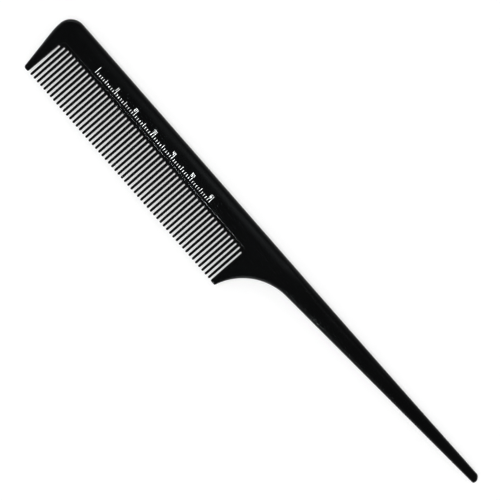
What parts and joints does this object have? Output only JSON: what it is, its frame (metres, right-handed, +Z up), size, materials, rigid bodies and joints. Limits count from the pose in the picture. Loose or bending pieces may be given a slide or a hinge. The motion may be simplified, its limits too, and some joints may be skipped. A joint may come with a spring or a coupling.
{
  "type": "rat tail comb",
  "caption": "Straight hairdressing comb with a row of fine teeth between two guard teeth and a long tapering tail for parting hair.",
  "frame": {"origin": "on the plane the comb rests on, under the middle of its length and width", "axes": "+X from the front end to the tip of the tail, +Y from the tooth tips to the back edge, +Z up through the thickness, out of the face with the scale"},
  "size_m": [0.216, 0.0256, 0.004],
  "materials": {
    "black_plastic": "satin-gloss moulded black",
    "foil": "hot-stamped silver-white foil"
  },
  "bodies": {
    "root": {"spine": "black_plastic", "front_guard_tooth": "black_plastic", "fine_teeth": "black_plastic", "rear_guard_tooth": "black_plastic", "neck": "black_plastic", "tail": "black_plastic", "stamped_scale": "foil"}
  },
  "joints": []
}
